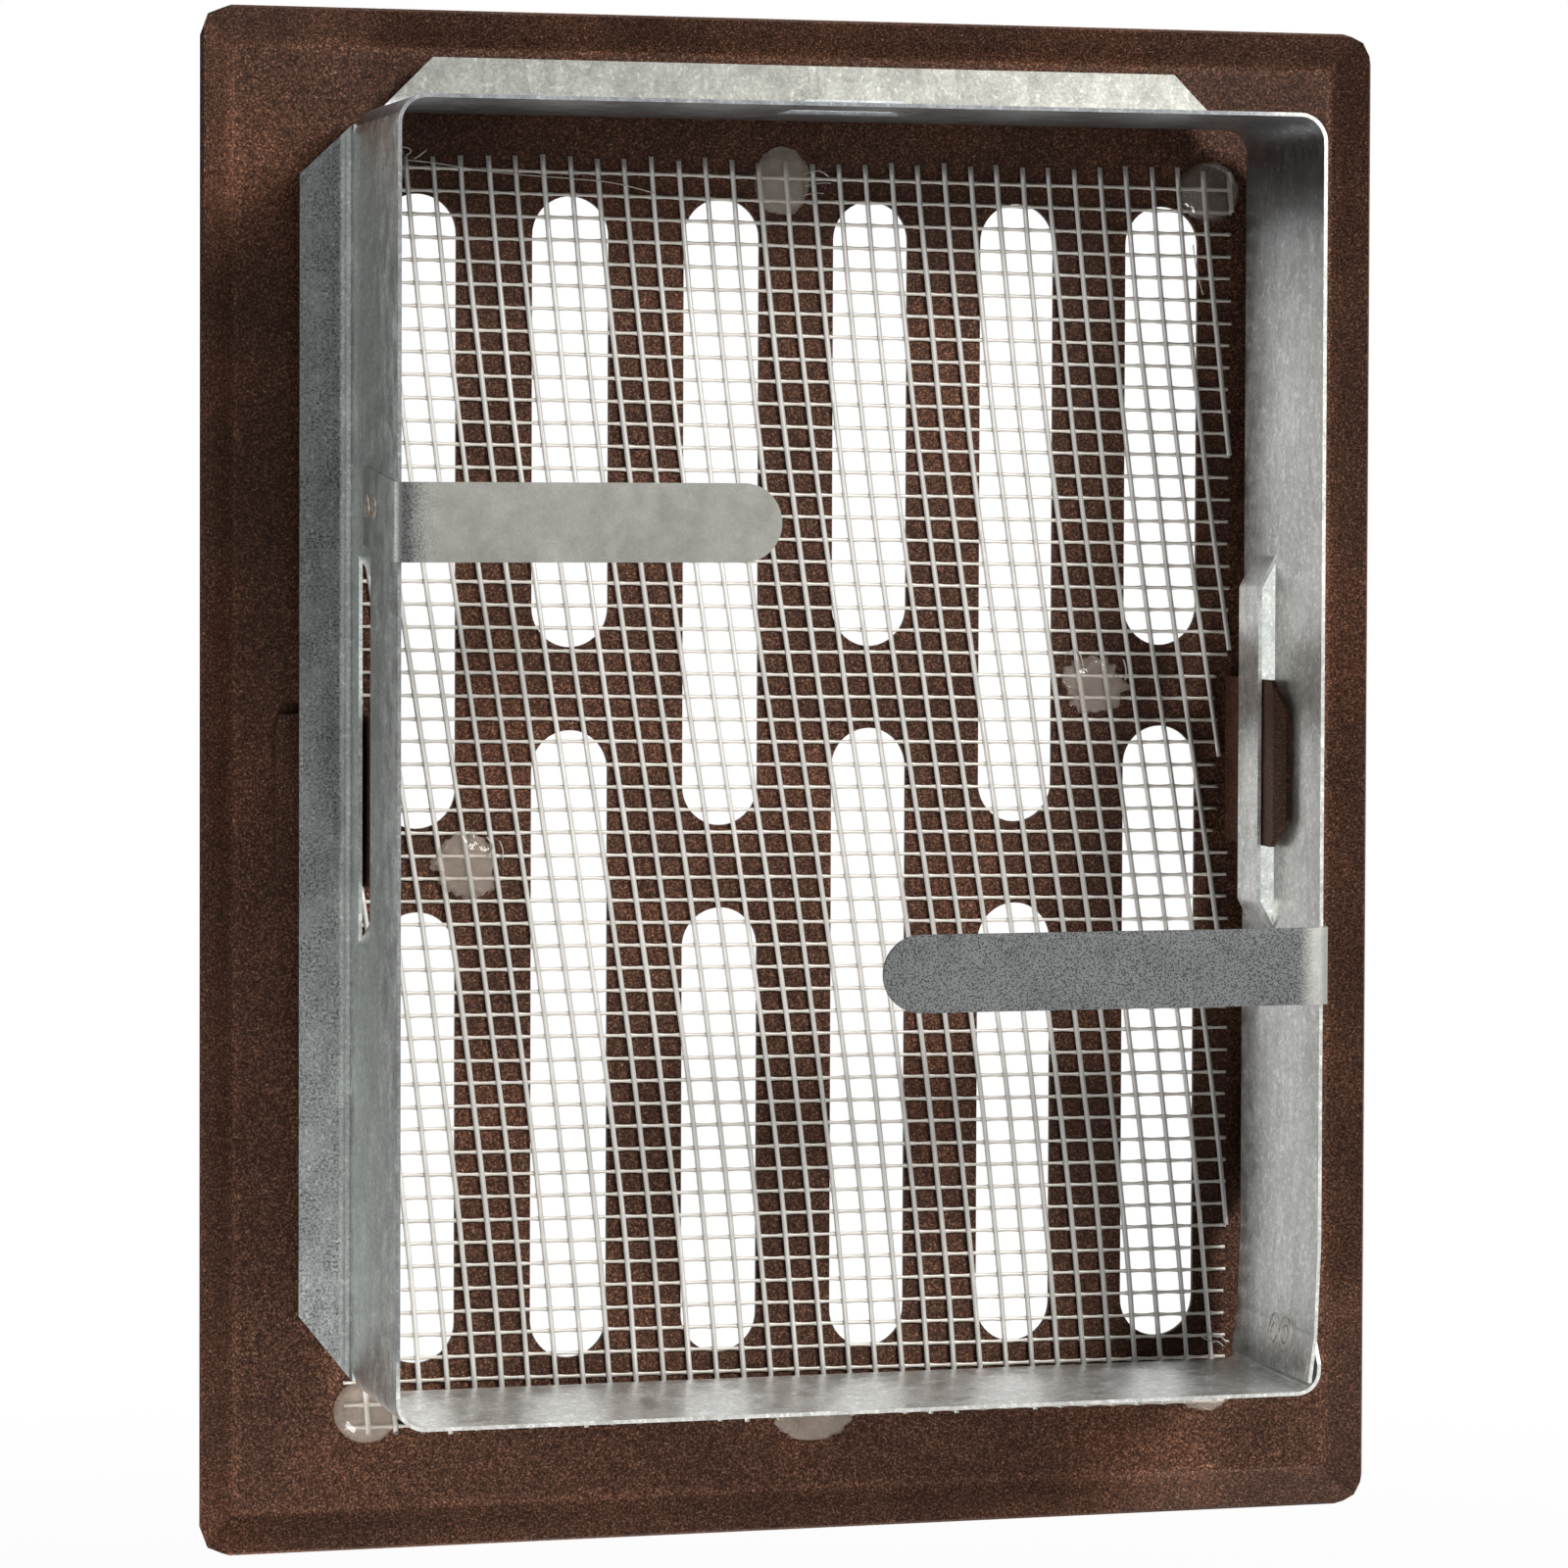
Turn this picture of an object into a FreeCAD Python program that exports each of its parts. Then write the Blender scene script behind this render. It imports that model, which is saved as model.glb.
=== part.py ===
import FreeCAD, Part
import math
import os

# Vent grille: a painted plate on two spring clips, plugged into a folded mounting frame.
# X runs to the right seen from the room, Y into the duct and Z up.
# The origin is the centre of the frame's sleeve, in the plane of the wall's face.

Vector = FreeCAD.Vector

# Sheet thicknesses
plate_sheet = 0.8
clip_sheet = 0.8
frame_sheet = 0.55
strap_sheet = 0.55

# Sleeve of the mounting frame, over its outer faces
sleeve_width = 135.0
sleeve_height = 183.5
sleeve_depth = 32.8
sleeve_corner_radius = 4.2

# Front plate: how far it overhangs the sleeve, and its rim folded back all round
side_overhang = 20.6
end_overhang = 18.25
rim_rise = 3.3
rim_angle = 35.0
rim_bend_radius = 0.9
corner_cut = 4.4
corner_dip = 1.25

# Slots in staggered columns, a long and a short one in each
slot_columns = 6
slot_pitch = 22.5
slot_width = 11.4
long_slot = 91.0
short_slot = 65.0
slot_bridge = 12.0

# How the plate hangs on its clips: off the sleeve's centre, and clear of the flange
plate_shift_x = 1.0
plate_shift_z = -4.0
flange_gap = 3.1

# Flange against the wall. The mitres are how far its ends run in from the setback.
flange_width = 7.5
bottom_flange_width = 5.0
flange_bend_radius = 0.8
flange_setback = 4.2
side_flange_setback = 2.4
side_flange_top_mitre = 7.1
side_flange_low_mitre = 9.3

# Overlap of the sleeve's two ends at one lower corner. A tab runs up outside the wall's end,
# which leans inwards behind it. Heights are from the sleeve's underside.
lap_length = 12.5
lap_gap = 0.1
lap_flare = 0.3
lean_height = 21.7
lean_knee_height = 8.35
lean_knee = 0.5
lean_end = 1.35
seam_corner_radius = 3.5
seam_gap = 0.15
weld_radius = 2.2
weld_height = 7.35

# The tab is cut back from the rim above its corner
tab_cut_start = 4.4
tab_cut_full = 8.0
tab_cut_depth = 2.4

# Lanced loops: pushed inwards on the sides for the clips, outwards on top to grip the wall
loop_length = 55.0
loop_width = 8.5
loop_ramp = 4.6
loop_bend_radius = 0.8
side_loop_front = 5.4
side_loop_shift = 0.8
top_loop_length = 18.4
top_loop_ramp = 2.2
top_loop_front = 14.8
top_loop_lift = 1.0
slit = 0.1

# Clips: a foot on the plate and a sprung tab that enters the side loop
clip_length = 24.3
clip_inner_clearance = 0.3
clip_outer_clearance = 0.9
clip_foot_width = 12.7
clip_bend_radius = 0.5
clip_crest_height = 21.95
clip_lip_height = 3.6
clip_lip_flare = 0.5
clip_crest_push = 0.15
clip_tip_cut_across = 4.7
clip_tip_cut_down = 5.6
clip_foot_cut_out = 0.8
clip_foot_cut_along = 2.8
clip_right_shift = 2.2
clip_left_shift = -2.5

# Anchor straps: a leg on the sleeve's side and a long arm across its back. The slant is how
# far a leg's end rises over its length.
strap_width = 11.0
strap_leg = 21.3
strap_bend_radius = 1.6
left_strap_arm = 53.9
left_strap_height = 33.2
left_strap_slant = 2.2
right_strap_arm = 66.2
right_strap_height = -29.9
right_strap_slant = 0.0

# Insect net, its strands fused into one lattice. It is cut to about the sleeve's size.
net_side_margin = 0.4
net_end_overlap = 0.9
net_shift_z = -2.95
net_columns = 10
net_rows = 14
net_upright_width = 0.8
net_upright_height = 0.5
net_cross_width = 0.6
net_cross_height = 0.35
net_clip_clearance = 0.4

# Glue dots, set down by hand: which side and end of the net each is at, and its offset from there
dot_radius = 4.0
dot_shoulder_radius = 3.3
dot_crown_radius = 1.7
dot_shoulder_height = 1.2
dot_height = 2.1
dot_places = [
    (1, 1, -5.1, -1.7),
    (0, 1, 2.0, -2.9),
    (-1, 1, 3.1, -1.7),
    (1, 0, -18.0, -9.25),
    (-1, 0, 19.8, 15.65),
    (1, -1, -4.1, 5.1),
    (0, -1, -3.2, 1.4),
    (-1, -1, 3.3, 1.8),
]

# Places worked out from the sizes
plate_back = -(frame_sheet + flange_gap)
plate_front = plate_back - plate_sheet
half_sleeve = sleeve_width / 2
half_sleeve_height = sleeve_height / 2
plate_width = sleeve_width + 2 * side_overhang
plate_height = sleeve_height + 2 * end_overhang
net_width = sleeve_width - 2 * net_side_margin
net_height = sleeve_height + 2 * net_end_overlap
side_loop_push = frame_sheet + clip_outer_clearance + clip_sheet + clip_inner_clearance
clip_face = half_sleeve - side_loop_push + clip_inner_clearance
sleeve_front = flange_bend_radius


def unit(a, b):
    length = math.hypot(b[0] - a[0], b[1] - a[1])
    return ((b[0] - a[0]) / length, (b[1] - a[1]) / length)


def rounded_face(corners, place):
    """Face of a closed outline. Each corner is (a, b, radius); place maps (a, b) to space."""
    ends = []
    for i, (a, b, radius) in enumerate(corners):
        before = corners[i - 1][:2]
        after = corners[(i + 1) % len(corners)][:2]
        back = unit((a, b), before)
        ahead = unit((a, b), after)
        cosine = max(-1.0, min(1.0, back[0] * ahead[0] + back[1] * ahead[1]))
        half_angle = math.acos(cosine) / 2
        if radius <= 0 or abs(math.cos(half_angle)) < 1e-6:
            ends.append(((a, b), None, (a, b)))
            continue
        reach = radius / math.tan(half_angle)
        start = (a + back[0] * reach, b + back[1] * reach)
        stop = (a + ahead[0] * reach, b + ahead[1] * reach)
        middle_line = unit((0, 0), (back[0] + ahead[0], back[1] + ahead[1]))
        depth = radius / math.sin(half_angle) - radius
        middle = (a + middle_line[0] * depth, b + middle_line[1] * depth)
        ends.append((start, middle, stop))
    edges = []
    for i, (start, middle, stop) in enumerate(ends):
        if middle is not None:
            edges.append(Part.Arc(place(*start), place(*middle), place(*stop)).toShape())
        following = ends[(i + 1) % len(ends)][0]
        if math.hypot(following[0] - stop[0], following[1] - stop[1]) > 1e-6:
            edges.append(Part.LineSegment(place(*stop), place(*following)).toShape())
    return Part.Face(Part.Wire(edges))


def sheet_outline(path, thickness):
    """Corners of a bent sheet seen edge on. The sheet lies to the left of the path.

    Each point of the path is (a, b, radius), with the radius inside the bend.
    """
    near = []
    far = []
    for i, (a, b, radius) in enumerate(path):
        first = unit(path[max(i - 1, 0)], path[max(i, 1)])
        second = unit(path[min(i, len(path) - 2)], path[min(i + 1, len(path) - 1)])
        turn = first[0] * second[1] - first[1] * second[0]
        scale = thickness / (1 + first[0] * second[0] + first[1] * second[1])
        outer = radius + thickness if radius > 0 else 0
        left = (a - (first[1] + second[1]) * scale, b + (first[0] + second[0]) * scale)
        near.append((a, b, outer if turn > 0 else radius))
        far.append((left[0], left[1], radius if turn > 0 else outer))
    return near + far[::-1]


def fused(first, others):
    shape = first.multiFuse(others)
    return shape.removeSplitter()


def prism(points, along):
    wire = Part.makePolygon(points + points[:1])
    return Part.Face(wire).extrude(along)


def dish_section(half_width, inside):
    """Half-space of the dished plate across one direction, up to its back or front surface."""
    slope = math.radians(rim_angle)
    crease = half_width - plate_sheet * math.sin(slope) - rim_rise / math.tan(slope)
    edge = half_width - plate_sheet * math.sin(slope)
    if inside:
        over = rim_rise
        corners = [
            (crease, plate_back, rim_bend_radius),
            (edge, plate_back + rim_rise, 0),
            (edge + over / math.tan(slope), plate_back + rim_rise + over, 0),
        ]
    else:
        front_crease = crease + plate_sheet * math.tan(slope / 2)
        corners = [
            (front_crease, plate_front, rim_bend_radius + plate_sheet),
            (half_width, plate_back + rim_rise - plate_sheet * math.cos(slope), 0),
            (edge, plate_back + rim_rise, 0),
        ]
    mirrored = [(-a, b, radius) for a, b, radius in corners]
    return corners + mirrored[::-1]


def dish_solid(inside):
    """Where the two channel shapes cross, which gives mitred corners."""
    along_z = rounded_face(
        dish_section(plate_width / 2, inside),
        lambda a, b: Vector(a, b, -plate_height),
    ).extrude(Vector(0, 0, 2 * plate_height))
    along_x = rounded_face(
        dish_section(plate_height / 2, inside),
        lambda a, b: Vector(-plate_width, b, a),
    ).extrude(Vector(2 * plate_width, 0, 0))
    return along_z.common(along_x)


def corner_trim():
    """Prism of the plate's outline, whose corners are cut by two facets."""
    half_w = plate_width / 2
    half_h = plate_height / 2
    points = []
    for sign_x, sign_z in ((1, 1), (-1, 1), (-1, -1), (1, -1)):
        corner = [
            (half_w, half_h - corner_cut),
            (half_w - corner_dip, half_h - corner_dip),
            (half_w - corner_cut, half_h),
        ]
        if sign_x * sign_z < 0:
            corner.reverse()
        points += [Vector(sign_x * x, plate_front - rim_rise, sign_z * z) for x, z in corner]
    return prism(points, Vector(0, 4 * rim_rise, 0))


def slot_cutter(x, low, high):
    """Round-ended slot through the plate."""
    radius = slot_width / 2
    corners = [
        (x - radius, low, radius * 0.9999),
        (x + radius, low, radius * 0.9999),
        (x + radius, high, radius * 0.9999),
        (x - radius, high, radius * 0.9999),
    ]
    face = rounded_face(corners, lambda a, b: Vector(a, plate_front - plate_sheet, b))
    return face.extrude(Vector(0, 3 * plate_sheet, 0))


def slot_cutters():
    half_column = (long_slot + slot_bridge + short_slot) / 2
    cutters = []
    for column in range(slot_columns):
        x = (column - (slot_columns - 1) / 2) * slot_pitch
        upper = short_slot if column % 2 == 0 else long_slot
        lower = long_slot if column % 2 == 0 else short_slot
        cutters.append(slot_cutter(x, half_column - upper, half_column))
        cutters.append(slot_cutter(x, -half_column, -half_column + lower))
    return cutters


def make_face_plate():
    dish = dish_solid(False).cut(dish_solid(True))
    dish = dish.common(corner_trim())
    dish = dish.cut(Part.makeCompound(slot_cutters()))
    dish.translate(Vector(plate_shift_x, 0, plate_shift_z))
    return dish


def sleeve_wall():
    """The long strip folded round the duct, from its outer tab to its inner end."""
    side = half_sleeve
    height = half_sleeve_height
    bend = sleeve_corner_radius - frame_sheet
    seam_bend = seam_corner_radius - frame_sheet
    beside_seam = seam_corner_radius - lean_end
    drop = math.sqrt(max(0.0, (seam_bend - seam_gap) ** 2 - beside_seam ** 2))
    path = [
        (-side - lap_flare, -height + lap_length, 0),
        (-side, -height, seam_bend),
        (side, -height, bend),
        (side, height, bend),
        (-side, height, bend),
        (-side, -height + lean_height, flange_bend_radius),
        (lean_knee - side, -height + lean_knee_height, flange_bend_radius),
        (lean_end - side, -height + seam_corner_radius - drop, 0),
    ]
    face = rounded_face(sheet_outline(path, frame_sheet), lambda a, b: Vector(a, sleeve_front, b))
    return face.extrude(Vector(0, sleeve_depth - sleeve_front, 0)).cut(tab_cut())


def tab_cut():
    """Wedge that cuts the tab back from the rim, and stays clear of the wall inside it."""
    low = -half_sleeve_height + seam_corner_radius
    top = -half_sleeve_height + lap_length + frame_sheet
    outer = -half_sleeve - lap_flare - frame_sheet
    start = -half_sleeve_height + tab_cut_start
    full = -half_sleeve_height + tab_cut_full
    front = sleeve_depth - tab_cut_depth
    beyond = sleeve_depth + frame_sheet
    beside_wall = prism(
        [
            Vector(outer, front, low),
            Vector(-half_sleeve + frame_sheet + lap_gap, front, low),
            Vector(-half_sleeve - lap_flare + frame_sheet + lap_gap / 2, front, top),
            Vector(outer, front, top),
        ],
        Vector(0, beyond - front, 0),
    )
    wedge = prism(
        [
            Vector(outer, sleeve_depth, start),
            Vector(outer, front, full),
            Vector(outer, front, top),
            Vector(outer, beyond, top),
            Vector(outer, beyond, start),
        ],
        Vector(4 * frame_sheet, 0, 0),
    )
    return beside_wall.common(wedge)


def flange(wall, width, low, high, mitres, place):
    """Flange bent out of one wall. wall is the wall's outer face, low to high its length."""
    path = [
        (wall + width, 0, 0),
        (wall, 0, flange_bend_radius),
        (wall, sleeve_front + frame_sheet, 0),
    ]
    outline = sheet_outline(path, frame_sheet)
    face = rounded_face(outline, lambda a, b: place(a, b, low))
    bent = face.extrude(place(0, 0, high) - place(0, 0, low))
    inside = wall - 2 * frame_sheet
    base = -2 * frame_sheet
    corners = [
        (inside, low),
        (wall, low),
        (wall + width, low + mitres[0]),
        (wall + width, high - mitres[1]),
        (wall, high),
        (inside, high),
    ]
    trim = prism(
        [place(a, base, s) for a, s in corners],
        place(0, 8 * frame_sheet, 0) - place(0, 0, 0),
    )
    return bent.common(trim)


def flanges():
    reach = half_sleeve - flange_setback
    reach_up = half_sleeve_height - side_flange_setback
    seam_side_low = -half_sleeve_height + lean_height
    side_mitres = (side_flange_low_mitre, side_flange_top_mitre)
    return [
        flange(half_sleeve, flange_width, -reach_up, reach_up, side_mitres,
               lambda n, y, s: Vector(n, y, s)),
        flange(half_sleeve, flange_width, seam_side_low, reach_up, side_mitres,
               lambda n, y, s: Vector(-n, y, s)),
        flange(half_sleeve_height, flange_width, -reach, reach, (flange_width, flange_width),
               lambda n, y, s: Vector(s, y, n)),
        flange(half_sleeve_height, bottom_flange_width, -reach, reach,
               (bottom_flange_width, bottom_flange_width),
               lambda n, y, s: Vector(s, y, -n)),
    ]


def loop(length, ramp, push, front, place):
    """Lanced loop and the window it leaves. place maps (along, inwards, y) to space."""
    half = length / 2
    root = 2 * frame_sheet
    path = [
        (-half - root, 0, 0),
        (-half, 0, loop_bend_radius),
        (-half + ramp, push, loop_bend_radius),
        (half - ramp, push, loop_bend_radius),
        (half, 0, loop_bend_radius),
        (half + root, 0, 0),
    ]
    outline = sheet_outline(path, frame_sheet)
    across = place(0, 0, front + loop_width - slit) - place(0, 0, front + slit)
    strip = rounded_face(outline, lambda s, n: place(s, n, front + slit)).extrude(across)
    window = prism(
        [
            place(-half, -frame_sheet, front),
            place(half, -frame_sheet, front),
            place(half, 2 * frame_sheet, front),
            place(-half, 2 * frame_sheet, front),
        ],
        place(0, 0, front + loop_width) - place(0, 0, front),
    )
    return strip, window


def loops():
    shift = side_loop_shift
    return [
        loop(loop_length, loop_ramp, side_loop_push, side_loop_front,
             lambda s, n, y: Vector(half_sleeve - n, y, s + shift)),
        loop(loop_length, loop_ramp, side_loop_push, side_loop_front,
             lambda s, n, y: Vector(n - half_sleeve, y, s + shift)),
        loop(top_loop_length, top_loop_ramp, -top_loop_lift, top_loop_front,
             lambda s, n, y: Vector(s, y, half_sleeve_height - n)),
    ]


def lap_weld():
    """Spot weld that closes the gap between the tab and the wall's end."""
    start = Vector(
        -half_sleeve + frame_sheet / 4,
        (sleeve_front + sleeve_depth) / 2,
        -half_sleeve_height + weld_height,
    )
    reach = frame_sheet + 0.6 * lean_knee
    return Part.makeCylinder(weld_radius, reach, start, Vector(1, 0, 0))


def make_mounting_frame():
    frame = fused(sleeve_wall(), flanges() + [lap_weld()])
    strips = []
    for strip, window in loops():
        frame = frame.cut(window)
        strips.append(strip)
    return fused(frame, strips)


def make_clip(side, shift):
    """Clip on one side: side is 1 or -1, shift its height against the plate's centre."""
    foot_end = clip_face + clip_foot_width
    crest = plate_back + clip_crest_height
    loop_back = side_loop_front + loop_width
    path = [
        (clip_face + clip_lip_flare, crest + clip_lip_height, 0),
        (clip_face - clip_crest_push, crest, clip_bend_radius),
        (clip_face, loop_back, 0),
        (clip_face, plate_back, clip_bend_radius),
        (foot_end, plate_back, 0),
    ]
    outline = sheet_outline(path, clip_sheet)
    middle = plate_shift_z + shift
    low = middle - clip_length / 2
    high = middle + clip_length / 2
    face = rounded_face(outline, lambda n, y: Vector(side * n, y, low))
    clip = face.extrude(Vector(0, 0, clip_length))
    tip = crest + clip_lip_height + clip_sheet
    inner = clip_face - clip_sheet
    across = Vector(side * 4 * clip_sheet, 0, 0)
    outer = foot_end + clip_sheet
    for end, into in ((low, 1), (high, -1)):
        clip = clip.cut(prism(
            [
                Vector(side * inner, tip, end - into),
                Vector(side * inner, tip, end + into * clip_tip_cut_across),
                Vector(side * inner, tip - clip_tip_cut_down - clip_sheet, end - into * 0.5),
            ],
            across,
        ))
        clip = clip.cut(prism(
            [
                Vector(side * outer, plate_front, end - into),
                Vector(side * outer, plate_front, end + into * clip_foot_cut_along * 2),
                Vector(side * (foot_end - clip_foot_cut_out), plate_front, end - into),
            ],
            Vector(0, 4 * clip_sheet, 0),
        ))
    return clip


def make_strap(side, arm, height, slant):
    """Strap on one side: its leg lies on the wall and its arm crosses the sleeve's back."""
    back = sleeve_depth + strap_bend_radius
    tip = half_sleeve - arm
    leg_end = sleeve_depth - strap_leg
    path = [
        (tip, back, 0),
        (half_sleeve, back, strap_bend_radius),
        (half_sleeve, leg_end, 0),
    ]
    outline = sheet_outline(path, strap_sheet)
    radius = strap_width / 2
    low = height - radius
    high = height + radius
    face = rounded_face(outline, lambda n, y: Vector(side * n, y, low))
    sheet = face.extrude(Vector(0, 0, strap_width + slant))
    outer = half_sleeve + 2 * strap_sheet
    arm_shape = rounded_face(
        [
            (tip, low, radius * 0.9999),
            (outer, low, 0),
            (outer, high, 0),
            (tip, high, radius * 0.9999),
        ],
        lambda a, b: Vector(side * a, sleeve_depth, b),
    )
    leg_shape = prism(
        [
            Vector(side * outer, sleeve_depth, low),
            Vector(side * outer, sleeve_depth, high),
            Vector(side * outer, leg_end, high + slant),
            Vector(side * outer, leg_end, low + slant),
        ],
        Vector(-side * 4 * strap_sheet, 0, 0),
    )
    arm_part = sheet.common(arm_shape.extrude(Vector(0, strap_bend_radius + 2 * strap_sheet, 0)))
    return fused(arm_part, [sheet.common(leg_shape)])


def bar(x, z, width, height, depth):
    corner = Vector(x - width / 2, plate_back, z - height / 2)
    return Part.makeBox(width, depth, height, corner)


def make_net():
    """Upright strands with thinner cross strands between them, cut back at the clips."""
    centre_x = plate_shift_x
    centre_z = plate_shift_z + net_shift_z
    column_pitch = net_width / net_columns
    row_pitch = net_height / net_rows
    strands = []
    for column in range(net_columns):
        x = centre_x + (column - (net_columns - 1) / 2) * column_pitch
        strands.append(bar(x, centre_z, net_upright_width, net_height, net_upright_height))
    for row in range(net_rows):
        z = centre_z + (row - (net_rows - 1) / 2) * row_pitch
        strands.append(bar(centre_x, z, net_width, net_cross_width, net_cross_height))
    net = fused(strands[0], strands[1:])
    for side, shift in ((1, clip_left_shift), (-1, clip_right_shift)):
        length = clip_length + 2 * net_clip_clearance
        inner = clip_face - net_clip_clearance
        width = clip_foot_width + 2 * net_clip_clearance
        middle = side * (inner + width / 2)
        net = net.cut(bar(middle, plate_shift_z + shift, width, length, flange_gap))
    return net


def make_dot(place, net):
    """Flattened drop of glue on the plate's back, moulded round the strands under it."""
    side, end, shift_x, shift_z = place
    profile = [
        Vector(0, 0, 0),
        Vector(dot_radius, 0, 0),
        Vector(dot_shoulder_radius, dot_shoulder_height, 0),
        Vector(dot_crown_radius, dot_height, 0),
        Vector(0, dot_height, 0),
    ]
    outline = Part.Face(Part.makePolygon(profile + profile[:1]))
    drop = outline.revolve(Vector(0, 0, 0), Vector(0, 1, 0), 360)
    drop.translate(Vector(
        plate_shift_x + side * net_width / 2 + shift_x,
        plate_back,
        plate_shift_z + net_shift_z + end * net_height / 2 + shift_z,
    ))
    return max(drop.cut(net).Solids, key=lambda solid: solid.Volume)


def make_parts():
    net = make_net()
    parts = {
        "face_plate": make_face_plate(),
        "clip_left": make_clip(1, clip_left_shift),
        "clip_right": make_clip(-1, clip_right_shift),
        "insect_net": net,
        "mounting_frame": make_mounting_frame(),
        "anchor_strap_left": make_strap(
            1, left_strap_arm, left_strap_height, left_strap_slant),
        "anchor_strap_right": make_strap(
            -1, right_strap_arm, right_strap_height, right_strap_slant),
    }
    for number, place in enumerate(dot_places, 1):
        parts[f"glue_dot_{number}"] = make_dot(place, net)
    return parts


os.makedirs("parts", exist_ok=True)
for name, shape in make_parts().items():
    shape.exportStep(f"parts/{name}.step")
    print(name, shape.ShapeType, len(shape.Solids), round(shape.Volume, 1), shape.isValid())
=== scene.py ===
import math
import random
import bmesh
import bpy
from mathutils import Euler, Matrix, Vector, noise
from mathutils.bvhtree import BVHTree


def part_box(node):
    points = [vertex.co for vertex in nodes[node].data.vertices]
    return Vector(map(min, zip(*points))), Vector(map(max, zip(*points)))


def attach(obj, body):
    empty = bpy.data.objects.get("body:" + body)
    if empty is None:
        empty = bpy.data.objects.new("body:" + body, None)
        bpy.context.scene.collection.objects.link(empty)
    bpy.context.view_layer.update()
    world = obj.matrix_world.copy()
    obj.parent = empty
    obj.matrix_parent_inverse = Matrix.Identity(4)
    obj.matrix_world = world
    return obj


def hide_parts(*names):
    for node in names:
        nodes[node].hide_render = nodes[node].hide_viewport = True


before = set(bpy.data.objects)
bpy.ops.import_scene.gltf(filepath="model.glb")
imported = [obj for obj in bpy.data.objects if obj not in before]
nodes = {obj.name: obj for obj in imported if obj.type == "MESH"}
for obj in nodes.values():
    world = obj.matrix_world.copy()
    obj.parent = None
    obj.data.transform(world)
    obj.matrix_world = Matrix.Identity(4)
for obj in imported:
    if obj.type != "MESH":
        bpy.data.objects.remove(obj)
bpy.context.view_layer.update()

# Vent grille seen from the duct side: brown plate, insect net, zinc frame with two straps.
# Metres, X to the right seen from the room, Y into the duct, Z up.

mm = 0.001
plateLow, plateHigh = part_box("face_plate")
plateBack = -3.65   # the plate's back face, in mm
print("frame loaded:", len(nodes), "CAD nodes")


# small helpers for shader trees

def newMaterial(name):
    material = bpy.data.materials.new(name)
    material.use_nodes = True
    tree = material.node_tree
    tree.nodes.clear()
    output = tree.nodes.new("ShaderNodeOutputMaterial")
    shader = tree.nodes.new("ShaderNodeBsdfPrincipled")
    tree.links.new(shader.outputs["BSDF"], output.inputs["Surface"])
    return material, tree, shader


def objectPlace(tree, stretch=(1, 1, 1)):
    # where a point is on the piece, in metres, stretched for streaks
    place = tree.nodes.new("ShaderNodeTexCoord")
    if stretch == (1, 1, 1):
        return place.outputs["Object"]
    mapping = tree.nodes.new("ShaderNodeMapping")
    mapping.inputs["Scale"].default_value = stretch
    tree.links.new(place.outputs["Object"], mapping.inputs["Vector"])
    return mapping.outputs["Vector"]


def grain(tree, place, scale, detail=2.0, rough=0.5):
    node = tree.nodes.new("ShaderNodeTexNoise")
    node.inputs["Scale"].default_value = scale
    node.inputs["Detail"].default_value = detail
    node.inputs["Roughness"].default_value = rough
    tree.links.new(place, node.inputs["Vector"])
    return node.outputs["Fac"]


def crystals(tree, place, scale):
    # one random value for each crystal of the zinc
    node = tree.nodes.new("ShaderNodeTexVoronoi")
    node.inputs["Scale"].default_value = scale
    tree.links.new(place, node.inputs["Vector"])
    split = tree.nodes.new("ShaderNodeSeparateColor")
    tree.links.new(node.outputs["Color"], split.inputs[0])
    return split.outputs[0]


def remap(tree, value, low, high, toLow, toHigh):
    node = tree.nodes.new("ShaderNodeMapRange")
    node.inputs["From Min"].default_value = low
    node.inputs["From Max"].default_value = high
    node.inputs["To Min"].default_value = toLow
    node.inputs["To Max"].default_value = toHigh
    tree.links.new(value, node.inputs["Value"])
    return node.outputs["Result"]


def ramp(tree, value, stops):
    node = tree.nodes.new("ShaderNodeValToRGB")
    points = node.color_ramp.elements
    while len(points) < len(stops):
        points.new(0.5)
    for point, (at, colour) in zip(points, stops):
        point.position = at
        point.color = (*colour, 1)
    tree.links.new(value, node.inputs["Fac"])
    return node.outputs["Color"]


def feed(tree, value, slot):
    # a plain number or colour is set on the socket, anything else is linked to it
    if isinstance(value, (int, float)):
        slot.default_value = value
    elif isinstance(value, tuple):
        slot.default_value = (*value, 1)
    else:
        tree.links.new(value, slot)


def mixColour(tree, share, first, second, how="MIX"):
    node = tree.nodes.new("ShaderNodeMix")
    node.data_type = "RGBA"
    node.blend_type = how
    feed(tree, share, node.inputs[0])
    feed(tree, first, node.inputs[6])
    feed(tree, second, node.inputs[7])
    return node.outputs[2]


def maths(tree, how, first, second=0.0):
    node = tree.nodes.new("ShaderNodeMath")
    node.operation = how
    feed(tree, first, node.inputs[0])
    feed(tree, second, node.inputs[1])
    return node.outputs[0]


def shaded(tree, tone, shade):
    # a tone made lighter or darker by a value
    grey = tree.nodes.new("ShaderNodeCombineColor")
    for slot in range(3):
        tree.links.new(shade, grey.inputs[slot])
    return mixColour(tree, 1.0, tone, grey.outputs[0], "MULTIPLY")


def bump(tree, shader, height, strength, distance):
    node = tree.nodes.new("ShaderNodeBump")
    node.inputs["Strength"].default_value = strength
    node.inputs["Distance"].default_value = distance
    tree.links.new(height, node.inputs["Height"])
    tree.links.new(node.outputs["Normal"], shader.inputs["Normal"])


def axes(tree):
    split = tree.nodes.new("ShaderNodeSeparateXYZ")
    tree.links.new(objectPlace(tree), split.inputs[0])
    return split.outputs[0], split.outputs[1], split.outputs[2]


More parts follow.
